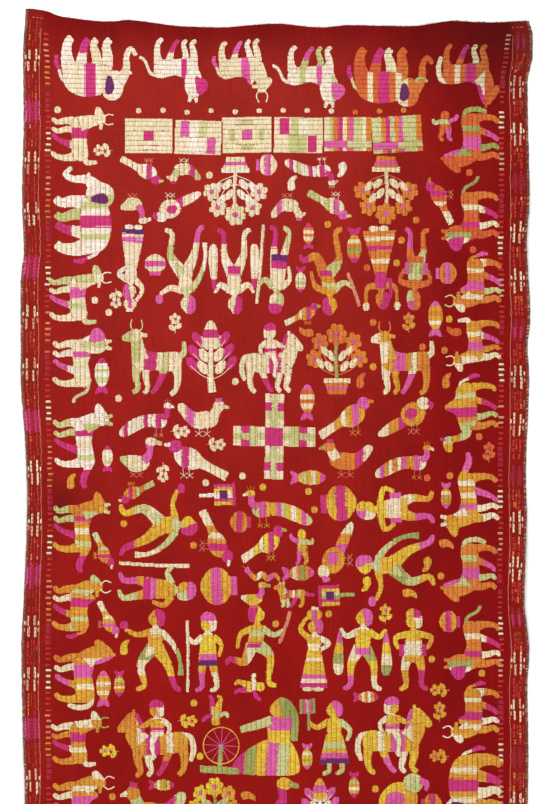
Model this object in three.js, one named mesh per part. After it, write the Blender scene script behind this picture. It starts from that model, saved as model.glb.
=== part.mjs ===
// A phulkari: one long shawl of hand-woven red cotton that carries floss silk embroidery.
// It lies face up. X runs across the cloth, Y along it and Z up, in millimetres.
// The origin is under the middle of the cloth, at the level of what it lies on.
// The cloth is one closed sheet of even thickness, with wavy hand-woven edges, a drawn-out
// corner at the far left, and low swells where it doesn't lie dead flat.

import * as THREE from "three";

const WIDTH = 1290;
const LENGTH = 2330;
const THICKNESS = 1.6;
const CELLS_ACROSS = 32;
const CELLS_ALONG = 50;
const MADDER_RED = 0x961e19;

// The two long sides: "along" counts from the far end, "inset" is how far the side lies inside the
// widest reach of the cloth.
const LEFT_SIDE = [
  { along: 0, inset: 13 },
  { along: 110, inset: 6 },
  { along: 280, inset: 8 },
  { along: 480, inset: 4 },
  { along: 610, inset: 8 },
  { along: 690, inset: 0 },
  { along: 915, inset: 0 },
  { along: 1115, inset: 13 },
  { along: 1245, inset: 17 },
  { along: 1490, inset: 8 },
  { along: 1600, inset: 2 },
  { along: 1840, inset: 6 },
  { along: 1970, inset: 11 },
  { along: 2150, inset: 7 },
  { along: 2330, inset: 9 },
];
const RIGHT_SIDE = [
  { along: 0, inset: 9 },
  { along: 45, inset: 0 },
  { along: 100, inset: 0 },
  { along: 185, inset: 13 },
  { along: 480, inset: 8 },
  { along: 590, inset: 15 },
  { along: 780, inset: 6 },
  { along: 850, inset: 13 },
  { along: 930, inset: 9 },
  { along: 1180, inset: 17 },
  { along: 1265, inset: 15 },
  { along: 1490, inset: 21 },
  { along: 1620, inset: 9 },
  { along: 1710, inset: 13 },
  { along: 1880, inset: 11 },
  { along: 2120, inset: 14 },
  { along: 2330, inset: 10 },
];

// The two ends: "across" counts from the left side.
const FAR_END = [
  { across: 0, inset: 0 },
  { across: 45, inset: 4 },
  { across: 97, inset: 20 },
  { across: 225, inset: 33 },
  { across: 260, inset: 29 },
  { across: 405, inset: 45 },
  { across: 500, inset: 48 },
  { across: 640, inset: 38 },
  { across: 760, inset: 48 },
  { across: 830, inset: 42 },
  { across: 985, inset: 45 },
  { across: 1100, inset: 31 },
  { across: 1190, inset: 35 },
  { across: 1290, inset: 31 },
];
const NEAR_END = [
  { across: 0, inset: 0 },
  { across: 420, inset: 9 },
  { across: 700, inset: 3 },
  { across: 980, inset: 10 },
  { across: 1290, inset: 5 },
];

// Low swells, each with its middle, how far it reaches and how high it lifts the cloth.
// They lie where the outline is drawn in, so its corners and outermost points stay down.
const SWELLS = [
  { across: 215, along: 50, reachAcross: 120, reachAlong: 120, lift: 4 },
  { across: 480, along: 70, reachAcross: 190, reachAlong: 160, lift: 5 },
  { across: 770, along: 60, reachAcross: 120, reachAlong: 130, lift: 4 },
  { across: 985, along: 80, reachAcross: 150, reachAlong: 160, lift: 5 },
  { across: 40, along: 400, reachAcross: 120, reachAlong: 230, lift: 4 },
  { across: 60, along: 1245, reachAcross: 180, reachAlong: 290, lift: 6 },
  { across: 40, along: 1900, reachAcross: 120, reachAlong: 200, lift: 4 },
  { across: 1260, along: 590, reachAcross: 130, reachAlong: 200, lift: 4 },
  { across: 1250, along: 1440, reachAcross: 160, reachAlong: 300, lift: 6 },
  { across: 500, along: 2270, reachAcross: 260, reachAlong: 150, lift: 4 },
  { across: 980, along: 2270, reachAcross: 160, reachAlong: 140, lift: 4 },
];

// A smooth curve through the rows of a table, which never swings past them.
function curveThrough(rows, place, at) {
  const last = rows.length - 1;
  const gradient = (i) =>
    (rows[i + 1].inset - rows[i].inset) / (rows[i + 1][place] - rows[i][place]);
  const tangent = (i) => {
    if (i === 0 || i === last) return 0;
    const product = gradient(i - 1) * gradient(i);
    return product > 0 ? (2 * product) / (gradient(i - 1) + gradient(i)) : 0;
  };
  let row = 0;
  while (row < last - 1 && at > rows[row + 1][place]) row += 1;
  const span = rows[row + 1][place] - rows[row][place];
  const t = (at - rows[row][place]) / span;
  const rise = t * t * (3 - 2 * t);
  return (
    rows[row].inset * (1 - rise) +
    rows[row + 1].inset * rise +
    span * t * (1 - t) * ((1 - t) * tangent(row) - t * tangent(row + 1))
  );
}

function liftAt(across, along) {
  let lift = 0;
  for (const swell of SWELLS) {
    const x = (across - swell.across) / swell.reachAcross;
    const y = (along - swell.along) / swell.reachAlong;
    const inside = Math.max(0, 1 - x * x - y * y);
    lift += swell.lift * inside * inside;
  }
  return lift;
}

// Where a point of the cloth lies, from its distances to the left side and to the far end.
function placeOf(across, along) {
  const left = curveThrough(LEFT_SIDE, "along", along) - WIDTH / 2;
  const right = WIDTH / 2 - curveThrough(RIGHT_SIDE, "along", along);
  const far = LENGTH / 2 - curveThrough(FAR_END, "across", across);
  const near = curveThrough(NEAR_END, "across", across) - LENGTH / 2;
  return {
    x: THREE.MathUtils.lerp(left, right, across / WIDTH),
    y: THREE.MathUtils.lerp(far, near, along / LENGTH),
    z: liftAt(across, along),
  };
}

function layPoints() {
  const points = [];
  for (const height of [0, THICKNESS]) {
    for (let j = 0; j <= CELLS_ALONG; j += 1) {
      for (let i = 0; i <= CELLS_ACROSS; i += 1) {
        const place = placeOf((WIDTH * i) / CELLS_ACROSS, (LENGTH * j) / CELLS_ALONG);
        points.push(place.x, place.y, place.z + height);
      }
    }
  }
  return points;
}

// The four corners of each quad are given anticlockwise, seen from outside the cloth.
function joinFaces() {
  const rowLength = CELLS_ACROSS + 1;
  const faceLength = rowLength * (CELLS_ALONG + 1);
  const under = (i, j) => j * rowLength + i;
  const over = (i, j) => faceLength + under(i, j);
  const faces = [];
  const addQuad = (a, b, c, d) => faces.push(a, b, c, a, c, d);
  for (let j = 0; j < CELLS_ALONG; j += 1) {
    for (let i = 0; i < CELLS_ACROSS; i += 1) {
      addQuad(over(i, j + 1), over(i + 1, j + 1), over(i + 1, j), over(i, j));
      addQuad(under(i, j), under(i + 1, j), under(i + 1, j + 1), under(i, j + 1));
    }
    addQuad(under(0, j), under(0, j + 1), over(0, j + 1), over(0, j));
    const end = CELLS_ACROSS;
    addQuad(under(end, j + 1), under(end, j), over(end, j), over(end, j + 1));
  }
  for (let i = 0; i < CELLS_ACROSS; i += 1) {
    addQuad(under(i + 1, 0), under(i, 0), over(i, 0), over(i + 1, 0));
    const end = CELLS_ALONG;
    addQuad(under(i, end), under(i + 1, end), over(i + 1, end), over(i, end));
  }
  return faces;
}

function makeCloth() {
  const geometry = new THREE.BufferGeometry();
  geometry.setAttribute("position", new THREE.Float32BufferAttribute(layPoints(), 3));
  geometry.setIndex(joinFaces());
  geometry.computeVertexNormals();
  const cotton = new THREE.MeshStandardMaterial({
    color: MADDER_RED,
    roughness: 0.9,
    metalness: 0,
  });
  const cloth = new THREE.Mesh(geometry, cotton);
  cloth.name = "ground_cloth";
  return cloth;
}

const phulkari = new THREE.Group();
phulkari.add(makeCloth());

export default phulkari;
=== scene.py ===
# A figured phulkari: a red cotton shawl that lies flat and face up, with its floss silk embroidery.
# Sizes on the flat cloth are in millimetres, "across" from its left side and "along" from its far
# end, until lie() brings them onto the lying cloth. The camera and the stage are in metres.
import math

import bpy
import numpy as np
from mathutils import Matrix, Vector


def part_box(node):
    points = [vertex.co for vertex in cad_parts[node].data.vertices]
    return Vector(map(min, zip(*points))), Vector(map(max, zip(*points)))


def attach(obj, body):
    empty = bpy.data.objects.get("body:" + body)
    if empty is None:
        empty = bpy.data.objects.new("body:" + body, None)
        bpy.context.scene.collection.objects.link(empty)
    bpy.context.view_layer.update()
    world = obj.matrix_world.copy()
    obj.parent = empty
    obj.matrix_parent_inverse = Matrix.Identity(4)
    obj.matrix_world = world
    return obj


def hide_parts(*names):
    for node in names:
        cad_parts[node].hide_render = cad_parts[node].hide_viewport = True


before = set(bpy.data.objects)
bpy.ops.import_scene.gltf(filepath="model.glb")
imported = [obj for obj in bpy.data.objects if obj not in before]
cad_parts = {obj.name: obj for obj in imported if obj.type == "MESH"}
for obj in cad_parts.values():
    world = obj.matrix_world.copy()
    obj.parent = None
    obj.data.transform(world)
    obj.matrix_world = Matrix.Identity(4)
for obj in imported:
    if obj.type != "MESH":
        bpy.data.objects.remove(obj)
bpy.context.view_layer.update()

MM = 0.001


# Camera. It looks straight down on the cloth, and the near end lies below its view.
VIEW_MIDDLE = (-0.0179, 0.1739)
VIEW_LENGTH = 2.026
CAMERA_HEIGHT = 4.5
SENSOR = 36.0

camera_data = bpy.data.cameras.new("camera")
camera_data.sensor_width = SENSOR
camera_data.lens = SENSOR * CAMERA_HEIGHT / VIEW_LENGTH
camera = bpy.data.objects.new("camera", camera_data)
camera.location = (*VIEW_MIDDLE, CAMERA_HEIGHT)
bpy.context.scene.collection.objects.link(camera)
bpy.context.scene.camera = camera


# Ground cloth. It is one length of khaddar, a plain weave of hand-spun cotton dyed madder red.
# Its edges are left as they came off the loom, wavy and a little frayed, and it lies with low
# swells and fine cockles where the stitching draws it in.
node_low, node_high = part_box("ground_cloth")
WIDTH = round((node_high.x - node_low.x) / MM)
LENGTH = round((node_high.y - node_low.y) / MM)
CLOTH_THICKNESS = 1.1
CELLS_ACROSS = 144
CELLS_ALONG = 254
FRAY = 0.7
FRAY_SEED = 11
COCKLE = 0.22
END_PULL = 110
SIDE_PULL = 70
MEAN_INSET = 9
MAP_RIM = 0.002
THREAD_SCALE = 320
# Streaks along the warp, streaks along the weft, and clouds: for each its scales, its detail, and
# its darkest and lightest shade.
CLOTH_SHADES = [
    ((420, 14, 1), 3, 0.9, 1.1), ((16, 380, 1), 2, 0.93, 1.07), ((9, 5, 1), 5, 0.86, 1.12),
]
REDS = {
    "madder": (146, 34, 26), "lower_part": (137, 18, 15), "left_part": (132, 22, 17),
    "right_part": (124, 11, 12), "far_end": (112, 12, 12), "dark_far_corner": (78, 9, 10),
    "dark_left_patch": (98, 18, 15), "under_borders": (128, 30, 20), "outermost": (104, 34, 24),
    "selvedge": (126, 88, 76),
}

# How far each side lies inside the widest reach: (place on that side, inset).
LEFT_SIDE = [
    (0, 13), (110, 6), (280, 8), (480, 4), (610, 8), (690, 0), (915, 0), (1115, 13),
    (1245, 17), (1490, 8), (1600, 2), (1840, 6), (1970, 11), (2150, 7), (2330, 9),
]
RIGHT_SIDE = [
    (0, 9), (45, 0), (100, 0), (185, 13), (480, 8), (590, 15), (780, 6), (850, 13), (930, 9),
    (1180, 17), (1265, 15), (1490, 21), (1620, 9), (1710, 13), (1880, 11), (2120, 14), (2330, 10),
]
FAR_END = [
    (0, 0), (45, 4), (97, 20), (225, 33), (260, 29), (405, 45), (500, 48), (640, 38),
    (760, 48), (830, 42), (985, 45), (1100, 31), (1190, 35), (1290, 31),
]
NEAR_END = [(0, 0), (420, 9), (700, 3), (980, 10), (1290, 5)]

# Each swell: (across, along, reach across, reach along, lift).
SWELLS = [
    (215, 50, 120, 120, 4), (480, 70, 190, 160, 5), (770, 60, 120, 130, 4),
    (985, 80, 150, 160, 5), (40, 400, 120, 230, 4), (60, 1245, 180, 290, 6),
    (40, 1900, 120, 200, 4), (1260, 590, 130, 200, 4), (1250, 1440, 160, 300, 6),
    (500, 2270, 260, 150, 4), (980, 2270, 160, 140, 4),
]


def curve_through(rows, at):
    """A smooth curve through the rows of a table, which never swings past them."""
    places, insets = np.array(rows, float).T
    spans = np.diff(places)
    gradients = np.diff(insets) / spans
    product = gradients[:-1] * gradients[1:]
    total = np.where(product > 0, gradients[:-1] + gradients[1:], 1.0)
    tangents = np.concatenate([[0.0], np.where(product > 0, 2 * product / total, 0.0), [0.0]])
    row = np.clip(np.searchsorted(places, at, side="left") - 1, 0, len(spans) - 1)
    t = (at - places[row]) / spans[row]
    rise = t * t * (3 - 2 * t)
    bend = (1 - t) * tangents[row] - t * tangents[row + 1]
    return insets[row] * (1 - rise) + insets[row + 1] * rise + spans[row] * t * (1 - t) * bend


def eased(inset, from_side):
    """A side's wavy inset, which fades to a straight one inside the cloth."""
    return MEAN_INSET + (inset - MEAN_INSET) * np.exp(-from_side / SIDE_PULL)


def cockles(across, along):
    """Fine unevenness of the lying cloth, from 0 to four times COCKLE."""
    long_waves = np.sin(along / 31 + 1.7 * np.sin(across / 83)) * np.sin(across / 47 + 0.6)
    short_waves = np.sin(across / 17 + along / 61) * np.sin(along / 23 + 2.1)
    return COCKLE * (2 + long_waves + short_waves)


def lie(across, along):
    """Where points of the flat cloth lie, in metres: X, Y and the height of its upper face."""
    across, along = np.asarray(across, float), np.asarray(along, float)
    from_left, from_right = across, WIDTH - across
    left = eased(curve_through(LEFT_SIDE, along), from_left) - WIDTH / 2
    right = WIDTH / 2 - eased(curve_through(RIGHT_SIDE, along), from_right)
    far = curve_through(FAR_END, across) * np.exp(-along / END_PULL)
    near = curve_through(NEAR_END, across) * np.exp((along - LENGTH) / END_PULL)
    lift = np.zeros(across.shape)
    for middle_across, middle_along, reach_across, reach_along, height in SWELLS:
        x = (across - middle_across) / reach_across
        y = (along - middle_along) / reach_along
        lift += height * np.maximum(0, 1 - x * x - y * y) ** 2
    x = left + (right - left) * across / WIDTH
    y = LENGTH / 2 - along - far + near
    z = lift + cockles(across, along) + CLOTH_THICKNESS
    return np.stack([x, y, z], axis=-1) * MM


def linear(red, green, blue):
    """A colour given in the usual 0 to 255, as the linear numbers that shaders use."""
    share = np.array([red, green, blue]) / 255
    return np.where(share > 0.04045, ((share + 0.055) / 1.055) ** 2.4, share / 12.92)


def blend_to(colours, target, share):
    return colours + (target - colours) * np.clip(share, 0, 1)[..., None]


def ramp(value, start, stop):
    """A share that goes from 0 at start to 1 at stop."""
    return np.clip((value - start) / (stop - start), 0, 1)


def fading(across, along, middle, reach):
    """A share of 1 in the middle of a soft oval patch, which fades out to 0."""
    x = (across - middle[0]) / reach[0]
    y = (along - middle[1]) / reach[1]
    return np.exp(-x**2 - y**2)


def ground_tones(across, along):
    """The cloth's colour from place to place: faded and darker parts, the far right corner darkest."""
    from_side = np.minimum(across, WIDTH - across)
    border = np.where(across < WIDTH / 2, 0.5, 0.45)
    shares = {
        "lower_part": ramp(along, 300, 1600),
        "left_part": 0.6 * ramp(across, 230, 30),
        "right_part": 0.9 * ramp(across, 800, 1100),
        "far_end": 0.9 * np.exp(-((along / 95) ** 2)),
        # The far right corner is made darker.
        "dark_far_corner": fading(across, along, (1270, 10), (260, 190)),
        # A darker patch near the left side.
        "dark_left_patch": 0.7 * fading(across, along, (100, 1250), (46, 60)),
        "under_borders": border * ramp(from_side, 50, 42),
        "outermost": 0.6 * ramp(from_side, 16, 4),
        "selvedge": 0.8 * ramp(from_side, 5, 2),
    }
    tones = np.broadcast_to(linear(*REDS["madder"]), across.shape + (3,))
    for part, share in shares.items():
        tones = blend_to(tones, linear(*REDS[part]), share)
    return tones


def weave_cloth():
    """The cloth's mesh: an upper and an under face that are joined round the edge."""
    rows, places = CELLS_ALONG + 1, CELLS_ACROSS + 1
    along, across = np.meshgrid(
        np.linspace(0, LENGTH, rows), np.linspace(0, WIDTH, places), indexing="ij"
    )
    fray = np.random.default_rng(FRAY_SEED)
    across[:, [0, -1]] += fray.uniform(-FRAY, FRAY, (rows, 2))
    along[[0, -1], :] += fray.uniform(-FRAY, FRAY, (2, places))
    upper = lie(across, along)
    under = upper - [0, 0, CLOTH_THICKNESS * MM]
    number = np.arange(rows * places).reshape(rows, places)
    a, b, c, d = number[1:, :-1], number[1:, 1:], number[:-1, 1:], number[:-1, :-1]
    top = np.stack([a, b, c, d], axis=-1).reshape(-1, 4)
    bottom = np.stack([d, c, b, a], axis=-1).reshape(-1, 4) + rows * places
    rim = np.concatenate([number[:, 0], number[-1, 1:], number[-2::-1, -1], number[0, -2:0:-1]])
    after = np.roll(rim, -1)
    edge = np.stack([rim, rim + rows * places, after + rows * places, after], axis=-1)
    mesh = bpy.data.meshes.new("ground_cotton_cloth")
    points = np.concatenate([upper.reshape(-1, 3), under.reshape(-1, 3)])
    mesh.from_pydata(points.tolist(), [], np.concatenate([top, bottom, edge]).tolist())
    mesh.polygons.foreach_set("use_smooth", np.ones(len(mesh.polygons), bool))
    tones = ground_tones(across, along).reshape(-1, 3)
    tones = np.concatenate([tones, tones])
    layer = mesh.color_attributes.new("tone", "FLOAT_COLOR", "POINT")
    layer.data.foreach_set("color", np.c_[tones, np.ones(len(tones))].ravel())
    add_flat_map(mesh)
    return mesh


def add_flat_map(mesh):
    """A UV map seen from above, which gives each place of the shawl one place on the map."""
    spots = np.empty(len(mesh.vertices) * 3)
    mesh.vertices.foreach_get("co", spots)
    spots = spots.reshape(-1, 3)[:, :2]
    spots = (spots - spots.min(0)) / np.ptp(spots, axis=0)
    corners = np.empty(len(mesh.loops), int)
    mesh.loops.foreach_get("vertex_index", corners)
    layer = mesh.uv_layers.new(name="OFBake")
    layer.data.foreach_set("uv", (MAP_RIM + (1 - 2 * MAP_RIM) * spots[corners]).ravel())


def add_node(tree, kind, inputs=None, **settings):
    """Adds a node with its settings. Each input is given a value, or a socket to wire it to."""
    node = tree.nodes.new(kind)
    for setting, value in settings.items():
        setattr(node, setting, value)
    for name, value in (inputs or {}).items():
        if isinstance(value, bpy.types.NodeSocket):
            tree.links.new(value, node.inputs[name])
        else:
            node.inputs[name].default_value = value
    return node


def new_material(name, roughness, specular):
    """A material with its node tree and its shader."""
    material = bpy.data.materials.new(name)
    material.use_nodes = True
    shader = material.node_tree.nodes["Principled BSDF"]
    shader.inputs["Roughness"].default_value = roughness
    shader.inputs["Specular IOR Level"].default_value = specular
    return material, material.node_tree, shader


def streaks(tree, place, stretch, detail):
    """Noise that is drawn out one way or the other."""
    drawn = add_node(tree, "ShaderNodeMapping", {"Vector": place, "Scale": stretch})
    noise = {"Vector": drawn.outputs["Vector"], "Scale": 1.0, "Detail": detail}
    return add_node(tree, "ShaderNodeTexNoise", noise).outputs["Fac"]


def shaded(tree, colour, pattern, low, high):
    """Darkens and lightens a colour by a pattern, between the factors low and high."""
    limits = {"Value": pattern, "From Min": 0.3, "From Max": 0.7, "To Min": low, "To Max": high}
    factor = add_node(tree, "ShaderNodeMapRange", limits).outputs["Result"]
    scaled = add_node(tree, "ShaderNodeVectorMath", {0: colour, "Scale": factor}, operation="SCALE")
    return scaled.outputs["Vector"]


def relieve(tree, shader, height, strength, depth):
    """Gives a surface its fine relief, depth metres high."""
    relief = {"Strength": strength, "Distance": depth, "Height": height}
    bump = add_node(tree, "ShaderNodeBump", relief)
    tree.links.new(bump.outputs["Normal"], shader.inputs["Normal"])


def khaddar():
    """Coarse plain weave: threads about 1 mm apart, with slubs and streaks along both ways."""
    material, tree, shader = new_material("khaddar", roughness=0.95, specular=0.06)
    place = add_node(tree, "ShaderNodeTexCoord").outputs["Object"]
    weave = {"Vector": place, "Scale": THREAD_SCALE, "Distortion": 1.4, "Detail Scale": 0.6}
    warp, weft = [
        add_node(tree, "ShaderNodeTexWave", weave, bands_direction=way).outputs["Fac"]
        for way in ("X", "Y")
    ]
    colour = add_node(tree, "ShaderNodeAttribute", attribute_name="tone").outputs["Color"]
    for stretch, detail, low, high in CLOTH_SHADES:
        colour = shaded(tree, colour, streaks(tree, place, stretch, detail), low, high)
    colour = shaded(tree, colour, warp, low=0.94, high=1.05)
    tree.links.new(colour, shader.inputs["Base Color"])
    crossing = add_node(tree, "ShaderNodeMath", {0: warp, 1: weft}, operation="MULTIPLY")
    relieve(tree, shader, crossing.outputs["Value"], strength=0.5, depth=0.0006)
    return material


def show(name, mesh, material):
    """Puts a finished mesh into the scene as a piece of the shawl."""
    piece = bpy.data.objects.new(name, mesh)
    bpy.context.scene.collection.objects.link(piece)
    if not mesh.materials:
        mesh.materials.append(material)
    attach(piece, "root")
    return piece


cloth = show("ground_cotton_cloth", weave_cloth(), khaddar())
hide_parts("ground_cloth")


# Side borders. Along each side runs a column of small paired bars, two groups in pale silk and
# then one in magenta, with short dashes between them and one thin line inside. They are counted
# straight stitches of untwisted floss silk, each stitch a float that lies on the cloth.
STITCH = np.dtype([("start", float, 2), ("stop", float, 2), ("girth", float), ("dye", float, 3)])
FLOSS_GIRTH = 1.75
FLOSS_RISE = 0.5
UNEVENNESS = 0.12
FILAMENTS = (1.2, 9, 1)
SUNK = 0.15
# Where the floats are darkened in the far right corner, how far that reaches, and by how much.
DARK_CORNER_MIDDLE = (1270, 70)
DARK_CORNER_REACH = (170, 130)
DARK_CORNER_DEPTH = 0.45
# Each thread has two tones, between which its dye drifts.
THREADS = {
    "cream": [(248, 234, 200), (232, 228, 176)],
    "white": [(252, 246, 230), (240, 230, 196)],
    "leaf": [(216, 222, 160), (190, 200, 116)],
    "moss": [(176, 190, 104), (136, 160, 76)],
    "magenta": [(216, 44, 138), (200, 38, 110)],
    "orchid": [(230, 106, 182), (218, 80, 156)],
    "orange": [(228, 146, 42), (214, 118, 38)],
    "flame": [(216, 88, 34), (226, 140, 44)],
    "gold": [(230, 182, 42), (214, 120, 36)],
    "yellow": [(238, 218, 56), (220, 146, 38)],
    "plum": [(70, 20, 108), (96, 28, 96)],
    "salmon": [(230, 156, 122), (212, 122, 90)],
    "faded": [(222, 184, 148), (194, 148, 112)],
    "rust": [(202, 46, 26), (176, 32, 22)],
    "wine": [(180, 4, 54), (154, 4, 40)],
    "olive": [(92, 60, 32), (64, 40, 24)],
    "grey": [(176, 138, 126), (134, 98, 88)],
    "madder": [(134, 30, 24), (104, 22, 20)],
}
# Of each border: its bars, each with its distance from the side and the way its arm points, the
# first group's place and the pitch of the groups, how far the middle groups sag, which group in
# three is bright, the place of the thin line, the width of the dashes, and whether it is carried
# over to the right side.
LEFT_BORDER = {
    "bars": [(14.5, -1), (31, 1)], "first": 130, "pitch": 129.7, "sag": 0, "bright": 1,
    "line_at": 41, "dash_wide": 3.6, "flip": False,
}
RIGHT_BORDER = {
    "bars": [(20, -1), (36, 1)], "first": 66, "pitch": 120.4, "sag": 23, "bright": 0,
    "line_at": 47, "dash_wide": 5.4, "flip": True,
}
BORDER_TOP = 26
BORDER_END = 24
FIRST_GROUP_ROOM = 6
GROUP_ROOM = 4
LAST_GROUP_ROOM = 14
GROUP_STRAY = 2
HALF_BAR = 29
BAR_GAP = 1.5
BAR_LEAN = 1.2
BAR_STRAY = 2
BAR_END_STRAY = 1.3
BAR_THREADS = ["cream", "faded", "salmon"]
BAR_SHARES = [0.5, 0.35, 0.15]
ARM_AWAY = 8.2
ARM_WIDE = 4.2
ARM_SPAN = (3, 14)
TIE_WIDE = 8.0
TIE_HALF = 1.6
PATCH_RIM = 2
PATCH_REACH = (0.7, 1.15)
PATCH_MORE = 3
CORE_HALF = 3
INNER_ARM_HALF = 2
OUTER_ARM_HALF = 1.6
OUTER_SHARE = 0.8
STROKE_WIDE = 5.4
STROKE_REACH = (0.85, 1.05)
STROKE_BRIGHT = (0.3, 0.75)
STROKE_STRAY = 1
LOOSE_AWAY = (4.5, 7, -4.5)
LOOSE_REACH = (6, 24)
THIN = 1.8
DASH_THREADS = ["rust", "flame", "salmon", "olive"]
DASH_SHARES = [0.8, 0.12, 0.04, 0.04]
DASH_CHANCE = {"between": 0.7, "bar": 0.96, "arm": 0.6}
DASH_START = (0, 5)
DASH_TALL = (8, 20)
DASH_REST = (0.5, 4)
DASH_STRAY = 1.0
CORNER_DASHES = (19, 29, 40)
CORNER_ALONG = 21
CORNER_WIDE = 6
LINE_FROM = 48
LINE_TO_END = 20
LINE_STEP = 7.0
LINE_REST = 0.6
LINE_GIRTH = 1.5
LINE_WAVE = 1.2
LINE_STRAY = 0.5
# How long a float may be in most parts, in the paired bars and in the bright ones.
LONGEST = 11.0
LONGEST_IN_BARS = 12
LONGEST_IN_BRIGHT = 9
END_GAP = 0.4
END_STRAY = 0.5
SWERVE = 0.25
SLANT = 0.3
# How far a thread's dye goes from its first tone to its second, and how its lightness changes.
DRIFT = 0.8
DRIFT_SPREAD = 0.18
SHADE_SPREAD = 0.06
SHADE_LIMITS = (0.8, 1.15)
DRAW_SEED = 1907
draw = np.random.default_rng(DRAW_SEED)


def patches(across, along):
    """A slow drift over the cloth, from 0 to 1, by which a hank's colour changes."""
    waves = np.sin(across / 37 + 1.3 * np.sin(along / 53)) + np.sin(along / 29 + across / 71)
    return 0.5 + 0.25 * waves


def stitches(starts, stops, thread, girth=FLOSS_GIRTH):
    """Rows of floats from their two ends, with the thread's small changes of tone."""
    starts = np.atleast_2d(np.array(starts, float))
    stops = np.atleast_2d(np.array(stops, float))
    rows = np.zeros(len(starts), STITCH)
    rows["start"], rows["stop"] = starts, stops
    rows["girth"] = girth
    fresh, faded = (linear(*tone) for tone in THREADS[thread])
    slow = DRIFT * patches(*((starts + stops) / 2).T)
    drift = slow + draw.normal(0, DRIFT_SPREAD, len(starts))
    tones = blend_to(np.broadcast_to(fresh, (len(starts), 3)), faded, drift)
    across, along = starts.T
    # Floats in the far right corner are darkened like the cloth there.
    corner_darkening = DARK_CORNER_DEPTH * fading(across, along, DARK_CORNER_MIDDLE, DARK_CORNER_REACH)
    strength = (1 - corner_darkening) * draw.normal(1, SHADE_SPREAD, len(starts)).clip(*SHADE_LIMITS)
    rows["dye"] = tones * strength[:, None]
    return rows


def upright(across, top, bottom, thread, wide, longest=LONGEST):
    """A bar of side-by-side floats that run along the cloth, in stitches of a like length."""
    columns = max(1, round(wide / FLOSS_GIRTH))
    steps = max(1, math.ceil((bottom - top) / longest))
    ends = np.linspace(top, bottom, steps + 1)
    found = []
    for column in range(columns):
        place = across + (column - (columns - 1) / 2) * FLOSS_GIRTH
        swerve = place + draw.normal(0, SWERVE, steps + 1)
        starts = np.c_[swerve[:-1], ends[:-1] + END_GAP + draw.normal(0, END_STRAY, steps)]
        stops = np.c_[swerve[1:], ends[1:] - END_GAP + draw.normal(0, END_STRAY, steps)]
        found.append(stitches(starts, stops, thread))
    return np.concatenate(found)


def level(left, right, along, thread, tall):
    """A bar of floats, one above the other, that run across the cloth."""
    rows = max(1, round(tall / FLOSS_GIRTH))
    places = along + (np.arange(rows) - (rows - 1) / 2) * FLOSS_GIRTH
    starts = np.c_[left + draw.normal(0, END_STRAY, rows), places]
    ends = right + draw.normal(0, END_STRAY, rows)
    stops = np.c_[ends, places + draw.normal(0, SLANT, rows)]
    return stitches(starts, stops, thread)


def paired_bars(bars, side, middle):
    """Two long pale bars, each with two short arms beside its middle and a dark tie to them."""
    found = []
    for offset, way in bars:
        lean = draw.normal(0, BAR_LEAN)
        reach = HALF_BAR + draw.normal(0, BAR_STRAY)
        at, arm = side(offset), side(offset + way * ARM_AWAY)
        for top, bottom, shift in ((-reach, -BAR_GAP, lean), (BAR_GAP, reach, -lean)):
            for column in (-1, 0, 1):
                thread = draw.choice(BAR_THREADS, p=BAR_SHARES)
                place = at + shift + column * FLOSS_GIRTH
                start, stop = middle + np.array([top, bottom]) + draw.normal(0, BAR_END_STRAY, 2)
                found.append(upright(place, start, stop, thread, FLOSS_GIRTH, LONGEST_IN_BARS))
        near, far = ARM_SPAN
        found.append(upright(arm, middle - far, middle - near, "cream", ARM_WIDE))
        found.append(upright(arm, middle + near, middle + far, "salmon", ARM_WIDE))
        tie = (at + arm) / 2
        found.append(upright(tie, middle - TIE_HALF, middle + TIE_HALF, "olive", TIE_WIDE))
    return found


def bright_patch(bars, side, middle):
    """Two magenta bars and their short ones, with darker floats worked all round them."""
    found = []
    outer, inner = bars[0][0], bars[1][0]
    rim = ARM_AWAY + PATCH_RIM
    for place in np.arange(outer - rim, inner + rim + 1, FLOSS_GIRTH):
        away = min(abs(place - offset) for offset, _ in bars)
        reach = HALF_BAR * draw.uniform(*PATCH_REACH) + PATCH_MORE
        if away < CORE_HALF:
            thread = "magenta"
        elif abs(away - ARM_AWAY) < INNER_ARM_HALF and outer < place < inner:
            thread = "wine"
        else:
            thread = "orchid" if abs(away - ARM_AWAY) < OUTER_ARM_HALF else "wine"
            reach *= OUTER_SHARE
        top, bottom = middle - reach, middle + reach
        found.append(upright(side(place), top, bottom, thread, FLOSS_GIRTH, LONGEST_IN_BRIGHT))
    return found


def bright_strokes(bars, side, middle, thread):
    """Two strokes of one bright silk with a few loose darker floats beside them."""
    found = []
    above, below = STROKE_BRIGHT
    near, far = LOOSE_REACH
    for offset, way in bars:
        at = side(offset) + draw.normal(0, STROKE_STRAY)
        reach = HALF_BAR * draw.uniform(*STROKE_REACH)
        ends = [middle - reach, middle - reach * above, middle + reach * below, middle + reach]
        for top, bottom, dyed in zip(ends[:-1], ends[1:], ("wine", thread, "wine")):
            found.append(upright(at, top, bottom, dyed, STROKE_WIDE, LONGEST_IN_BRIGHT))
        for away in LOOSE_AWAY:
            at = side(offset + way * away)
            top = middle + draw.uniform(-far, -near)
            bottom = middle + draw.uniform(near, far)
            found.append(upright(at, top, bottom, "wine", FLOSS_GIRTH, LONGEST_IN_BRIGHT))
    return found


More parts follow.
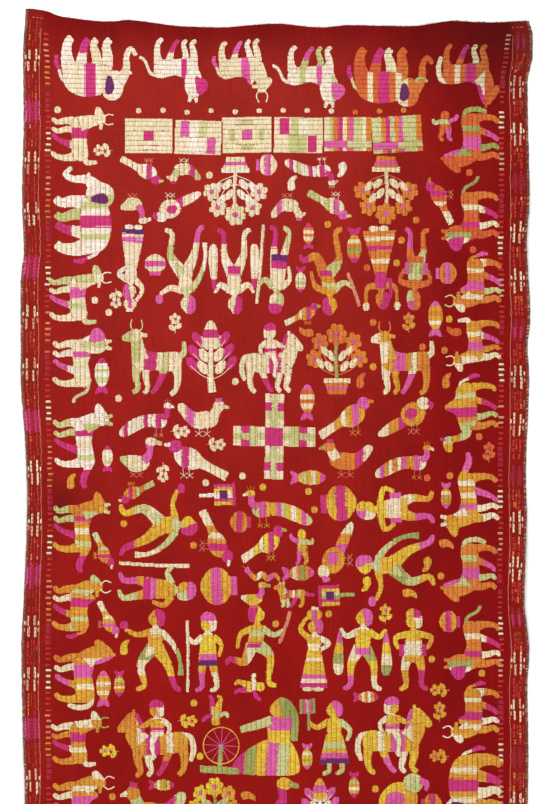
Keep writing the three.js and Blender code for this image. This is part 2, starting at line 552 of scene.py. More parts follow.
def between_groups(bars, side, top, bottom, dash_wide):
    """Loose strokes in rust and orange down the way from one group of bars to the next."""
    lanes = [((bars[0][0] + bars[1][0]) / 2, dash_wide - THIN, DASH_CHANCE["between"])]
    for offset, way in bars:
        lanes.append((offset, dash_wide, DASH_CHANCE["bar"]))
        lanes.append((offset + way * ARM_AWAY, THIN, DASH_CHANCE["arm"]))
    found = []
    for offset, wide, chance in lanes:
        place = top + draw.uniform(*DASH_START)
        while place < bottom - DASH_TALL[0]:
            tall = draw.uniform(*DASH_TALL)
            at = side(offset) + draw.normal(0, DASH_STRAY)
            thread = draw.choice(DASH_THREADS, p=DASH_SHARES)
            if draw.random() < chance:
                found.append(upright(at, place, min(place + tall, bottom), thread, wide))
            place += tall + draw.uniform(*DASH_REST)
    return found


def side_border(bars, first, pitch, sag, bright, line_at, dash_wide, flip):
    """One border, set out from its own edge. flip carries it over to the right side."""
    side = (lambda offset: WIDTH - offset) if flip else (lambda offset: offset)
    count = int((LENGTH - HALF_BAR - LAST_GROUP_ROOM - first) / pitch) + 1
    bottom = first - HALF_BAR - FIRST_GROUP_ROOM
    found = between_groups(bars, side, BORDER_TOP, bottom, dash_wide)
    for group in range(count):
        middle = first + group * pitch + sag * math.sin(math.pi * group / count)
        middle += draw.normal(0, GROUP_STRAY)
        if group % 3 != bright:
            found += paired_bars(bars, side, middle)
        elif flip:
            found += bright_strokes(bars, side, middle, "wine" if group % 2 else "magenta")
        else:
            found += bright_patch(bars, side, middle)
        top = middle + HALF_BAR + GROUP_ROOM
        bottom = min(middle + pitch - HALF_BAR - GROUP_ROOM, LENGTH - BORDER_END)
        found += between_groups(bars, side, top, bottom, dash_wide)
    for offset in CORNER_DASHES:
        ends = side(offset), side(offset + CORNER_WIDE)
        found.append(level(*ends, CORNER_ALONG, "salmon", THIN))
    steps = np.arange(LINE_FROM, LENGTH - LINE_TO_END, LINE_STEP)
    wave = side(line_at) + LINE_WAVE * np.sin(steps / 41)
    thin = np.c_[wave + draw.normal(0, LINE_STRAY, len(steps)), steps]
    found.append(stitches(thin[:-1], thin[1:] - [0, LINE_REST], "salmon", LINE_GIRTH))
    return np.concatenate(found)


def thread_strand():
    """One float of floss with unit sizes: a low ridge with sloping ends, flat underneath."""
    mesh = bpy.data.meshes.new("strand")
    foot = [(-0.5, -0.5, 0), (0.5, -0.5, 0), (0.5, 0.5, 0), (-0.5, 0.5, 0)]
    points = foot + [(-0.4, 0, 1), (0.4, 0, 1)]
    faces = [(0, 1, 5, 4), (2, 3, 4, 5), (1, 2, 5), (3, 0, 4), (3, 2, 1, 0)]
    mesh.from_pydata(points, [], faces)
    mesh.polygons.foreach_set("use_smooth", np.ones(len(faces), bool))
    layer = mesh.uv_layers.new(name="strand")
    for loop in mesh.loops:
        x, y, _ = points[loop.vertex_index]
        layer.data[loop.index].uv = (x + 0.5, y + 0.5)
    strand = bpy.data.objects.new("strand", mesh)
    bpy.context.scene.collection.objects.link(strand)
    return strand


def laying_tree():
    """Geometry Nodes that lay one float at each point, by its run, girth and dye."""
    tree = bpy.data.node_groups.new("lay_floats", "GeometryNodeTree")
    asked = {"Points": "Geometry", "Strand": "Object", "Rise": "Float", "Unevenness": "Float",
             "Seed": "Int", "Silk": "Material"}
    for name, kind in asked.items():
        tree.interface.new_socket(name, in_out="INPUT", socket_type="NodeSocket" + kind)
    tree.interface.new_socket("Floats", in_out="OUTPUT", socket_type="NodeSocketGeometry")
    given = add_node(tree, "NodeGroupInput").outputs

    def named(name, kind):
        read = add_node(tree, "GeometryNodeInputNamedAttribute", {"Name": name}, data_type=kind)
        return read.outputs["Attribute"]

    def worked_out(operation, first, second):
        node = add_node(tree, "ShaderNodeMath", {0: first, 1: second}, operation=operation)
        return node.outputs["Value"]

    run = named("run", "FLOAT_VECTOR")
    length = add_node(tree, "ShaderNodeVectorMath", {0: run}, operation="LENGTH")
    least = worked_out("SUBTRACT", 1.0, given["Unevenness"])
    most = worked_out("ADD", 1.0, given["Unevenness"])
    spread = {2: least, 3: most, "Seed": given["Seed"]}
    chance = add_node(tree, "FunctionNodeRandomValue", spread, data_type="FLOAT")
    width = worked_out("MULTIPLY", named("girth", "FLOAT"), chance.outputs[1])
    height = worked_out("MULTIPLY", width, given["Rise"])
    sizes = {"X": length.outputs["Value"], "Y": width, "Z": height}
    size = add_node(tree, "ShaderNodeCombineXYZ", sizes)
    heading = add_node(
        tree, "FunctionNodeAxesToRotation", {"Primary Axis": run, "Secondary Axis": (0, 0, 1)},
        primary_axis="X", secondary_axis="Z",
    )
    shape = add_node(tree, "GeometryNodeObjectInfo", {"Object": given["Strand"]})
    lay = add_node(tree, "GeometryNodeInstanceOnPoints", {
        "Points": given["Points"], "Instance": shape.outputs["Geometry"],
        "Rotation": heading.outputs["Rotation"], "Scale": size.outputs["Vector"],
    })
    real = add_node(tree, "GeometryNodeRealizeInstances", {"Geometry": lay.outputs["Instances"]})
    silken = {"Geometry": real.outputs["Geometry"], "Material": given["Silk"]}
    dressed = add_node(tree, "GeometryNodeSetMaterial", silken)
    add_node(tree, "NodeGroupOutput", {"Floats": dressed.outputs["Geometry"]})
    return tree


def floss_silk():
    """Untwisted silk: each float takes its dye, with fine filaments and a soft lustre."""
    material, tree, shader = new_material("floss_silk", roughness=0.5, specular=0.35)
    shader.inputs["Sheen Weight"].default_value = 0.15
    shader.inputs["Sheen Roughness"].default_value = 0.4
    dye = add_node(tree, "ShaderNodeAttribute", attribute_name="dye").outputs["Color"]
    place = add_node(tree, "ShaderNodeUVMap", uv_map="strand").outputs["UV"]
    filaments = streaks(tree, place, FILAMENTS, detail=2.0)
    colour = shaded(tree, dye, filaments, low=0.88, high=1.08)
    tree.links.new(colour, shader.inputs["Base Color"])
    relieve(tree, shader, filaments, strength=0.35, depth=0.0003)
    return material


strand_model = thread_strand()
lay_floats = laying_tree()
silk = floss_silk()


def embroider(name, rows, seed):
    """Lays rows of floats on the cloth as one piece of the embroidery."""
    first, last = lie(*rows["start"].T), lie(*rows["stop"].T)
    middle = (first + last) / 2 - [0, 0, SUNK * MM]
    points = bpy.data.meshes.new(name)
    points.from_pydata(middle.tolist(), [], [])
    layers = [
        ("run", "FLOAT_VECTOR", "vector", last - first),
        ("girth", "FLOAT", "value", rows["girth"] * MM),
        ("dye", "FLOAT_COLOR", "color", np.c_[rows["dye"], np.ones(len(rows))]),
    ]
    for layer, kind, part, values in layers:
        points.attributes.new(layer, kind, "POINT").data.foreach_set(part, values.ravel())
    base = bpy.data.objects.new(name + "_points", points)
    bpy.context.scene.collection.objects.link(base)
    modifier = base.modifiers.new("floats", "NODES")
    modifier.node_group = lay_floats
    wanted = {"Strand": strand_model, "Rise": FLOSS_RISE, "Unevenness": UNEVENNESS, "Seed": seed,
              "Silk": silk}
    for item in lay_floats.interface.items_tree:
        if item.name in wanted:
            modifier[item.identifier] = wanted[item.name]
    evaluated = base.evaluated_get(bpy.context.evaluated_depsgraph_get())
    mesh = bpy.data.meshes.new_from_object(evaluated)
    mesh.name = name
    bpy.data.objects.remove(base)
    add_flat_map(mesh)
    piece = show(name, mesh, silk)


left_rows = side_border(**LEFT_BORDER)
right_rows = side_border(**RIGHT_BORDER)
embroider("side_border_left", left_rows, seed=1)
embroider("side_border_right", right_rows, seed=2)


# Ladder columns. Inside each border short bars stand one above the other, four of a colour, in
# the same floss silk laid across the cloth.
LEFT_LADDER = {"middle": 63.5, "top": 60, "pitch": 14.1, "stray": -13, "lacking": 2}
RIGHT_LADDER = {"middle": WIDTH - 71, "top": 45, "pitch": 13.3, "stray": 22, "lacking": 0}
STRAY_REACH = 110
LADDER_END = 30
RUNGS_OF_A_COLOUR = 4
RUNGS_LOST = 0.05
RUNG_WIDE = 12.6
RUNG_TALL = 4.6
# How far a rung strays across and along, and how much half its width varies.
RUNG_ACROSS = 0.8
RUNG_ALONG = 0.5
RUNG_SPREAD = 0.6
WINE_TALLER = 2.1
LEFT_RUNGS = ["rust", "salmon", "flame", "wine", "rust", "cream"]
RIGHT_RUNGS = ["faded", "rust", "wine", "rust", "cream", "rust"]


def ladder(order, middle, top, pitch, stray, lacking):
    """One column, whose first group lacks some rungs. At the far end it strays sideways."""
    found = []
    for rung, along in enumerate(np.arange(top, LENGTH - LADDER_END, pitch)):
        thread = order[(rung + lacking) // RUNGS_OF_A_COLOUR % len(order)]
        if draw.random() < RUNGS_LOST:
            continue
        at = middle + stray * math.exp(-along / STRAY_REACH) + draw.normal(0, RUNG_ACROSS)
        place = along + draw.normal(0, RUNG_ALONG)
        half = RUNG_WIDE / 2 + draw.normal(0, RUNG_SPREAD)
        tall = RUNG_TALL * (WINE_TALLER if thread == "wine" else 1)
        found.append(level(at - half, at + half, place, thread, tall))
        # Halfway after each cream or flame rung a thin dark olive float lies: painted shade, standing
        # in for the shade between the pale rungs.
        if thread in ("cream", "flame"):
            found.append(level(at - half, at + half, place + pitch / 2, "olive", THIN))
    return np.concatenate(found)


embroider("ladder_left", ladder(LEFT_RUNGS, **LEFT_LADDER), seed=3)
embroider("ladder_right", ladder(RIGHT_RUNGS, **RIGHT_LADDER), seed=4)


# Figures. The field is filled with rows of animals, birds, people and plants in pattern darning:
# side-by-side silk floats counted into the weave, with thin lines of bare cloth between the rows
# of floats. Each part of a figure takes its own colour.
ROW_HEIGHT = 12.4
ROW_GAP = 0.3
PICK = 1.0
SHORTEST = 1.7
MARGIN = 6.0
RAGGED = 1.4
ROW_STRAY = 0.38
COLUMN_STRAY = 0.12
LEAST_ROOM = 9
MOST_WIDENED = 1.15
SIZE_SPREAD = (0.95, 1.03)
FEET_STRAY = 3
TURN_STRAY = 2
RUNNING_STEP = 6.0
THINNEST_LINE = 1.1
MOST_ROWS = 1000
MOST_BANDS = 20
ALONG, ACROSS = 1, 0
FIRST_SEED = 10

# Where the hanks change: the middle field lies between the two columns of animals, the near part is
# golden from GOLDEN_FROM on, and at the far end the pale silk reaches further to the right.
MIDDLE_FIELD = (230, 1060)
GOLDEN_FROM = 1190
FAR_PART = 480
PALE_TO = 700
PALE_TO_FAR = 820
FIERY_TO = 367
FIERY_COLUMN_TO = 700

# The hanks for each role in a figure: m is its main silk, s and t are the second and third, a is
# the accent, d the dark one and l the thin lines.
PALE = {
    "m": ["cream", "cream", "cream", "white"], "s": ["cream", "leaf", "white"],
    "t": ["white", "cream", "leaf"], "a": ["magenta", "orchid"], "d": ["magenta", "orchid", "plum"],
    "l": ["salmon", "white"],
}
BRIGHT = {
    "m": ["orange", "orange", "gold", "gold", "flame"], "s": ["cream", "cream", "leaf"],
    "t": ["cream", "orange", "moss"], "a": ["magenta", "orchid"], "d": ["plum", "magenta"],
    "l": ["salmon", "orange"],
}
FIERY = {
    **BRIGHT, "m": ["flame", "flame", "orange", "orange", "flame"],
    "s": ["cream", "leaf", "moss"], "t": ["leaf", "orange", "moss"],
}
GOLDEN = {
    "m": ["yellow", "yellow", "gold"], "s": ["cream", "cream", "leaf"],
    "t": ["white", "cream", "moss"], "a": ["orchid", "magenta"], "d": ["plum", "magenta"],
    "l": ["gold", "salmon"],
}
AMBER = {**GOLDEN, "m": ["gold", "gold", "orange"]}


# The outline of a figure is a few points in its own millimetres, with x to its front, y upwards
# and its feet at 0. It is sized, turned and set down on the cloth later.
def smooth(points, closed=True, steps=5):
    """A soft curve through the points."""
    points = np.array(points, float)
    if closed:
        before, after = np.roll(points, 1, 0), np.roll(points, -1, 0)
        beyond = np.roll(points, -2, 0)
    else:
        before = np.concatenate([points[:1], points[:-2]])
        after, beyond = points[1:], np.concatenate([points[2:], points[-1:]])
        points = points[:-1]
    t = np.linspace(0, 1, steps, endpoint=False)[None, :, None]
    p0, p1, p2, p3 = (p[:, None] for p in (before, points, after, beyond))
    curve = p1 + t * (p2 - p0) / 2 + t**2 * (p0 - 2.5 * p1 + 2 * p2 - p3 / 2)
    curve = (curve + t**3 * (1.5 * (p1 - p2) + (p3 - p0) / 2)).reshape(-1, 2)
    return curve if closed else np.concatenate([curve, after[-1:]])


def fill(outline, colours="m", by="x"):
    """A darned shape. Its colours are bands that follow one another along x or y."""
    return {"outline": np.array(outline, float), "colours": colours, "by": by}


def soft(points, colours="m", by="x"):
    return fill(smooth(points), colours, by)


def limb(points, widths, colours="m", by="y"):
    """A tapering strip, such as a neck, an arm or a branch."""
    middle = smooth(points, closed=False, steps=4)
    ahead = np.gradient(middle, axis=0)
    ahead /= np.linalg.norm(ahead, axis=1, keepdims=True)
    beside = np.c_[-ahead[:, 1], ahead[:, 0]]
    reach = np.interp(np.linspace(0, 1, len(middle)), np.linspace(0, 1, len(widths)), widths) / 2
    sides = [middle + beside * reach[:, None], middle - beside * reach[:, None]]
    return fill(np.concatenate([sides[0], sides[1][::-1]]), colours, by)


def leg(hip, knee, foot, thick, colours="m", toe=8):
    """A leg that tapers from the hip and ends in a small foot turned forward."""
    widths = [thick, 0.76 * thick, 0.5 * thick, 0.36 * thick, 0.3 * thick, 0.2 * thick]
    return limb([hip, knee, (foot - 0.2 * toe, 13), (foot + toe, 3)], widths, colours)


def oval(x, y, wide, tall, colours="m", turn=0, by="x"):
    angle = np.linspace(0, 2 * math.pi, 16, endpoint=False)
    ring = np.c_[np.cos(angle) * wide, np.sin(angle) * tall]
    c, s = math.cos(math.radians(turn)), math.sin(math.radians(turn))
    return fill(ring @ np.array([[c, s], [-s, c]]) + [x, y], colours, by)


def block(x, y, wide, tall, colours="m", by="x"):
    left, low = x - wide / 2, y - tall / 2
    ring = [(left, low), (left + wide, low), (left + wide, low + tall), (left, low + tall)]
    return fill(ring, colours, by)


def line(points, colour="l", girth=1.3):
    """A line of small running stitches."""
    return {"line": smooth(points, closed=False, steps=4), "colour": colour, "girth": girth}


def eye(x, y):
    return {"line": np.array([(x - 2.2, y), (x + 2.2, y)], float), "colour": "d", "girth": 2.6}


def stance(hip, chest, thick, colours):
    """Four slim legs of a walking animal. The inner hind leg steps forward."""
    outer = [1.2 * thick, 0.62 * thick, 0.36 * thick, 0.26 * thick]
    inner = [0.8 * thick, 0.5 * thick, 0.32 * thick, 0.24 * thick]
    return [
        limb([(hip, 88), (hip - 12, 50), (hip - 9, 16), (hip + 3, 3)], outer, colours[0]),
        limb([(hip + 24, 74), (hip + 31, 46), (hip + 42, 20), (hip + 55, 4)], inner, colours[1]),
        limb([(chest - 20, 76), (chest - 20, 42), (chest - 27, 16), (chest - 18, 3)], inner,
             colours[2]),
        limb([(chest, 82), (chest + 7, 46), (chest, 16), (chest + 11, 3)], outer, colours[3]),
    ]


def tail(colour="t"):
    """A thin tail that hangs behind, with a tuft."""
    return [limb([(-60, 100), (-76, 94), (-86, 70)], [4, 3.5, 3], colour),
            limb([(-85, 74), (-92, 58), (-90, 44)], [4, 9, 4], "a")]


def ears(x, y, colours="m"):
    return [limb([(x, y), (x - 6, y + 16)], [9, 4], colours),
            limb([(x + 14, y + 1), (x + 18, y + 16)], [8, 4], colours)]


def camel():
    return [
        *tail(),
        *stance(-50, 44, 25, ["m", "am", "s", "m"]),
        soft([(-66, 64), (-70, 90), (-54, 107), (-30, 113), (-8, 142), (12, 115), (36, 107),
              (58, 98), (62, 78), (44, 60), (0, 58), (-42, 59)], "mmsmmaamsm"),
        limb([(44, 92), (68, 88), (80, 108), (84, 136)], [28, 20, 14, 12], "sm"),
        soft([(76, 132), (80, 149), (94, 154), (116, 144), (114, 134), (94, 130)], "sm"),
        limb([(84, 148), (80, 161)], [6, 3], "a"),
        eye(95, 145),
    ]


def bullock():
    return [
        *tail("m"),
        *stance(-52, 48, 30, ["ms", "am", "t", "m"]),
        soft([(-68, 62), (-72, 88), (-58, 105), (-20, 101), (10, 104), (26, 124), (42, 109),
              (62, 98), (68, 74), (48, 54), (0, 54), (-38, 56)], "mmsmmaamsm"),
        limb([(48, 84), (62, 106), (66, 128)], [50, 38, 26], "sm", "x"),
        soft([(50, 124), (54, 142), (68, 144), (94, 124), (92, 112), (68, 112)], "ms"),
        line([(56, 140), (44, 154), (52, 172)], "t", 3.4),
        line([(68, 140), (82, 154), (76, 172)], "t", 3.4),
        limb([(54, 132), (34, 130)], [9, 4], "m"),
        eye(71, 131),
    ]


def deer():
    return [
        limb([(-60, 94), (-76, 104), (-74, 130)], [12, 11, 6], "s"),
        *stance(-50, 44, 27, ["m", "aas", "m", "s"]),
        soft([(-64, 66), (-68, 90), (-54, 104), (-6, 99), (28, 103), (54, 100), (62, 78), (46, 58),
              (0, 60), (-36, 60)], "mmsmaamm"),
        limb([(40, 80), (50, 110), (55, 138)], [46, 32, 22], "ms", "x"),
        soft([(43, 132), (48, 150), (62, 152), (90, 137), (88, 127), (62, 126)], "ms"),
        line([(50, 148), (40, 160), (44, 178)], "t", 3.4),
        line([(60, 150), (72, 160), (70, 178)], "t", 3.4),
        limb([(46, 143), (28, 141)], [8, 4], "m"),
        eye(66, 141),
    ]


def lion():
    return [
        limb([(-62, 100), (-86, 94), (-102, 66), (-118, 56)], [5, 4, 3, 5], "t"),
        *stance(-52, 46, 28, ["m", "as", "s", "m"]),
        soft([(-66, 68), (-72, 92), (-56, 105), (-6, 96), (26, 105), (54, 107), (66, 84), (48, 56),
              (0, 58), (-36, 60)], "mmsmmamm"),
        soft([(30, 90), (26, 122), (38, 146), (58, 152), (74, 132), (74, 98), (54, 78)], "mts"),
        soft([(58, 102), (62, 138), (76, 143), (96, 127), (92, 112), (74, 104)], "a"),
        *ears(44, 146),
        eye(77, 130),
    ]


def pony():
    return [
        limb([(-62, 100), (-82, 92), (-88, 62), (-80, 36)], [8, 9, 12, 6], "s"),
        *stance(-52, 46, 28, ["m", "am", "s", "m"]),
        soft([(-68, 62), (-72, 90), (-54, 105), (0, 99), (36, 105), (60, 97), (64, 74), (46, 54),
              (0, 54), (-36, 57)], "mmsmaamm"),
        limb([(42, 82), (62, 108), (66, 140)], [52, 38, 25], "sm", "x"),
        soft([(53, 134), (56, 152), (70, 154), (98, 122), (92, 111), (74, 120)], "mm"),
        limb([(36, 108), (43, 132), (52, 154)], [6, 7, 6], "a"),
        limb([(58, 150), (58, 164)], [7, 3], "m"),
        eye(72, 140),
    ]


def elephant():
    return [
        *tail(),
        limb([(-50, 84), (-62, 50), (-60, 18), (-50, 3)], [44, 30, 20, 15], "m"),
        limb([(-24, 70), (-18, 44), (-12, 20), (-2, 4)], [30, 22, 16, 12], "am"),
        limb([(24, 72), (22, 44), (14, 18), (22, 4)], [28, 22, 16, 12], "s"),
        limb([(46, 80), (54, 46), (50, 18), (60, 4)], [36, 26, 18, 14], "m"),
        soft([(-66, 62), (-72, 92), (-54, 118), (-10, 130), (34, 124), (60, 106), (64, 72), (34, 60),
              (-36, 60)], "mmsmaamsm"),
        soft([(40, 118), (56, 136), (82, 134), (96, 114), (94, 90), (78, 76), (54, 80)], "sm"),
        limb([(88, 100), (106, 76), (108, 44), (120, 26), (134, 40)], [26, 18, 12, 8, 6], "m"),
        soft([(46, 118), (58, 126), (72, 114), (66, 90), (52, 88)], "d"),
        limb([(88, 84), (104, 74), (120, 82)], [7, 6, 4], "t"),
        eye(83, 114),
    ]


def hound():
    return [
        limb([(-58, 96), (-82, 84), (-106, 74), (-126, 78)], [14, 13, 15, 7], "aam", "x"),
        *stance(-50, 44, 27, ["m", "a", "s", "sm"]),
        soft([(-66, 68), (-70, 92), (-54, 104), (-4, 97), (28, 103), (56, 99), (62, 78), (46, 58),
              (0, 60), (-36, 62)], "msmtmamm"),
        limb([(40, 80), (54, 108), (58, 128)], [48, 37, 27], "sm", "x"),
        soft([(42, 120), (46, 142), (60, 144), (94, 124), (92, 114), (64, 110)], "mm"),
        *ears(48, 138, "s"),
        eye(68, 130),
    ]


def bird_leg(x, top):
    return [line([(x, top), (x - 3, 7)]), line([(x - 11, 1), (x + 5, 13)]),
            line([(x - 11, 13), (x + 5, 0)])]


def songbird():
    """A bird that sits upright, so that its long straight tail slopes down."""
    return [
        limb([(-8, 42), (-40, 26), (-80, 6)], [25, 15, 17], "sm", "x"),
        soft([(-26, 30), (-22, 50), (-2, 66), (24, 70), (38, 56), (28, 34), (2, 22)], "smam"),
        oval(36, 72, 14, 13, "a"),
        limb([(47, 76), (61, 75)], [8, 2], "t"),
        *bird_leg(6, 26),
        *bird_leg(20, 32),
        eye(39, 74),
    ]


def peacock():
    return [
        soft([(0, 78), (-30, 84), (-80, 70), (-120, 42), (-136, 18), (-120, 6), (-90, 18), (-50, 38),
              (-8, 48)], "samtmsams"),
        soft([(-12, 46), (-18, 70), (4, 88), (30, 80), (42, 60), (30, 42), (8, 38)], "mas"),
        limb([(26, 70), (46, 88), (44, 116)], [22, 15, 12], "a"),
        oval(48, 119, 12, 9, "m"),
        limb([(57, 119), (70, 113)], [7, 2], "t"),
        line([(42, 126), (37, 142)]),
        line([(47, 128), (47, 145)]),
        line([(52, 127), (57, 142)]),
        *bird_leg(4, 40),
        *bird_leg(24, 44),
        eye(50, 121),
    ]


def parrot():
    return [
        soft([(-16, 42), (-56, 26), (-84, 4), (-74, -2), (-44, 8), (-6, 26)], "sma"),
        soft([(-22, 34), (-20, 56), (4, 72), (28, 66), (38, 46), (22, 26), (-4, 22)], "mm"),
        soft([(-14, 46), (-4, 60), (16, 56), (14, 40), (-6, 36)], "a"),
        oval(34, 70, 15, 13, "s"),
        limb([(45, 72), (56, 67), (53, 58)], [9, 7, 2], "a"),
        *bird_leg(4, 26),
        *bird_leg(18, 26),
        eye(37, 72),
    ]


def hen():
    return [
        soft([(-34, 36), (-54, 64), (-44, 72), (-18, 54), (12, 56), (34, 46), (26, 26), (-12, 20)],
             "sammm"),
        limb([(22, 42), (34, 64)], [22, 15], "s"),
        oval(37, 70, 11, 10, "m"),
        limb([(46, 70), (58, 66)], [7, 2], "t"),
        limb([(30, 81), (42, 83)], [7, 7], "a"),
        *bird_leg(-4, 24),
        *bird_leg(14, 26),
        eye(39, 72),
    ]


def duck():
    return [
        soft([(-26, 26), (-44, 46), (-20, 52), (8, 50), (26, 38), (14, 20), (-12, 16)], "smmm"),
        limb([(14, 40), (28, 62), (24, 84)], [20, 13, 10], "a"),
        oval(30, 88, 12, 9, "m"),
        limb([(40, 88), (56, 84)], [8, 5], "t"),
        *bird_leg(-8, 20),
        *bird_leg(8, 22),
        eye(32, 90),
    ]


def head(x, y, hair="a", skin="m"):
    """A plain small head that looks to the right, with its hair at the back."""
    face = [(x - 8, y - 12), (x - 10, y + 6), (x, y + 15), (x + 9, y + 8), (x + 15, y - 1),
            (x + 8, y - 12)]
    back = [(x + 1, y + 16), (x + 1, y + 6), (x - 4, y - 4), (x - 7, y - 15), (x - 17, y - 11),
            (x - 19, y + 5), (x - 11, y + 15)]
    return [soft(face, skin), soft(back, hair), eye(x + 5, y + 2)]


def arm(points, colours):
    return limb(points, [11, 9, 6, 4], colours, "x")


def shoes():
    return [oval(-12, 4, 11, 4.5, "s"), oval(15, 4, 11, 4.5, "s")]


def trunk(low, wide, colours, lean=0):
    """The upper body with its shoulders and neck, from the height low."""
    left = [(-wide, low), (lean - 16, 112), (lean - 14, 121), (lean - 5, 126), (lean - 5, 136)]
    right = [(lean + 5, 136), (lean + 5, 126), (lean + 14, 121), (lean + 16, 112), (wide, low)]
    return fill(left + right, colours, "y")


def turban(x, y, colours="a"):
    return soft([(x - 15, y + 6), (x - 14, y + 18), (x + 2, y + 24), (x + 14, y + 17), (x + 13, y + 7)],
                colours)


def water_carrier():
    return [
        *shoes(),
        fill([(-33, 8), (33, 8), (14, 94), (-14, 94)], "dtammmsmm", "y"),
        trunk(90, 13, "sms"),
        arm([(-13, 118), (-36, 106), (-15, 92)], "s"),
        arm([(13, 118), (36, 138), (19, 164)], "m"),
        *head(0, 145),
        oval(1, 171, 17, 11, "mam"),
        block(1, 184, 16, 6, "s"),
    ]


def elder():
    return [
        leg((-7, 80), (-15, 46), -19, 23, "sm", 12),
        leg((8, 80), (15, 46), 16, 23, "am", 12),
        trunk(56, 21, "dammms"),
        arm([(-13, 118), (-32, 102), (-26, 78)], "m"),
        arm([(13, 118), (32, 106), (46, 116)], "s"),
        limb([(48, 2), (47, 80), (49, 152)], [4, 4, 5], "t"),
        *head(0, 146, "s"),
        turban(0, 146),
    ]


def dancer():
    return [
        *shoes(),
        fill([(-43, 9), (43, 9), (13, 94), (-13, 94)], "mtmammsmm", "y"),
        trunk(90, 12, "aam"),
        arm([(13, 117), (38, 122), (42, 152)], "m"),
        arm([(-13, 117), (-38, 122), (-42, 152)], "m"),
        *head(0, 146),
        limb([(-14, 152), (-26, 132), (-24, 104)], [5, 5, 8], "a"),
        oval(42, 158, 7, 7, "t"),
        oval(-42, 158, 7, 7, "t"),
    ]


def strider():
    return [
        leg((-5, 84), (-28, 54), -45, 25, "amm", -11),
        leg((8, 84), (32, 52), 26, 25, "mst", 13),
        soft([(-19, 66), (-15, 94), (15, 94), (22, 66), (0, 76)], "ms"),
        trunk(88, 13, "ms"),
        arm([(13, 118), (40, 112), (66, 122)], "m"),
        arm([(-13, 118), (-36, 98), (-50, 74)], "s"),
        limb([(-47, 84), (-56, 58), (-57, 34)], [6, 5, 10], "t"),
        *head(0, 146),
        oval(70, 131, 8, 7, "a"),
    ]


def runner():
    return [
        limb([(-4, 86), (-22, 54), (-54, 60), (-62, 50)], [25, 18, 10, 7, 5], "amt", "x"),
        leg((8, 86), (36, 62), 32, 25, "mms", 13),
        trunk(80, 14, "amsmm", 10),
        arm([(22, 118), (46, 104), (70, 114)], "s"),
        arm([(-2, 118), (-28, 108), (-36, 82)], "m"),
        limb([(58, 88), (72, 118), (84, 148)], [4, 4, 5], "l"),
        *head(11, 147),
    ]


def drummer():
    return [
        leg((-7, 80), (-18, 48), -20, 24, "am", -11),
        leg((9, 80), (21, 48), 20, 24, "ms", 12),
        trunk(60, 22, "mmsmm"),
        arm([(-13, 118), (-42, 110), (-32, 88)], "m"),
        arm([(13, 118), (42, 110), (36, 88)], "m"),
        block(2, 84, 60, 22, "atssta"),
        *head(0, 146, "s"),
        turban(0, 146, "am"),
    ]


def fan_bearer():
    return [
        leg((-6, 70), (-12, 42), -14, 22, "s", 11),
        leg((10, 70), (16, 42), 15, 22, "s", 12),
        fill([(-32, 26), (34, 26), (15, 94), (-15, 94)], "damsmm", "y"),
        trunk(90, 14, "m"),
        arm([(-13, 118), (-36, 98), (-28, 76)], "s"),
        arm([(13, 118), (38, 106), (56, 118)], "m"),
        limb([(57, 102), (57, 140)], [4, 4], "t"),
        block(59, 153, 32, 29, "tasat"),
        *head(0, 145),
    ]


def bearer():
    """One who holds up a long leaf in either hand."""
    return [
        leg((-6, 84), (-25, 52), -30, 24, "smt", -12),
        leg((8, 84), (25, 52), 28, 24, "ams", 12),
        trunk(72, 16, "amms"),
        arm([(-13, 118), (-36, 108), (-50, 122)], "m"),
        arm([(13, 118), (36, 108), (50, 122)], "s"),
        soft([(-51, 118), (-64, 60), (-58, 34), (-46, 36), (-44, 62)], "tsma", "y"),
        soft([(51, 118), (64, 60), (58, 34), (46, 36), (44, 62)], "stma", "y"),
        *head(0, 146),
    ]


def child():
    return [
        leg((-6, 44), (-11, 26), -14, 19, "m", 7),
        leg((7, 44), (11, 26), 12, 19, "a", 7),
        fill([(-14, 36), (14, 36), (12, 66), (-12, 66)], "ms", "y"),
        limb([(-10, 62), (-30, 56), (-36, 66)], [9, 7, 6], "s"),
        limb([(10, 62), (28, 66), (38, 78)], [9, 7, 6], "a"),
        oval(0, 78, 11, 12, "m"),
        eye(4, 79),
    ]


def rider():
    return [
        *pony(),
        limb([(6, 104), (16, 78), (12, 50), (20, 46)], [20, 14, 9, 8], "t"),
        fill([(-15, 98), (17, 98), (16, 132), (12, 140), (6, 143), (6, 152), (-4, 152), (-4, 143),
              (-12, 140), (-14, 130)], "samms", "y"),
        arm([(12, 136), (36, 124), (50, 124)], "m"),
        arm([(-10, 136), (-30, 122), (-24, 100)], "s"),
        *head(2, 162, "s"),
        turban(2, 162),
    ]


def spokes(x, y, reach, count):
    """A wheel in running stitches, with its rim and spokes."""
    angle = np.linspace(0, 2 * math.pi, 24)
    ring = np.c_[x + reach * np.cos(angle), y + reach * np.sin(angle)]
    found = [{"line": ring, "colour": "m", "girth": 3.0}]
    for turn in np.arange(count) * math.pi / count:
        away = np.array([math.cos(turn), math.sin(turn)]) * reach
        found.append({"line": np.array([(x, y) - away, (x, y) + away]), "colour": "a", "girth": 1.8})
    return found


def spinner():
    return [
        soft([(-46, 6), (-54, 30), (-36, 60), (-8, 62), (26, 44), (50, 22), (44, 4)], "msamtd"),
        fill([(-38, 54), (-4, 56), (2, 96), (-40, 98)], "ma", "y"),
        limb([(-6, 92), (20, 82), (44, 74)], [13, 11, 8], "s"),
        *head(-18, 112, "t"),
        limb([(-30, 122), (-44, 100), (-44, 62)], [9, 10, 12], "t"),
        *spokes(76, 46, 30, 6),
        block(76, 6, 64, 9, "t"),
        limb([(76, 10), (76, 46)], [6, 5], "t"),
    ]


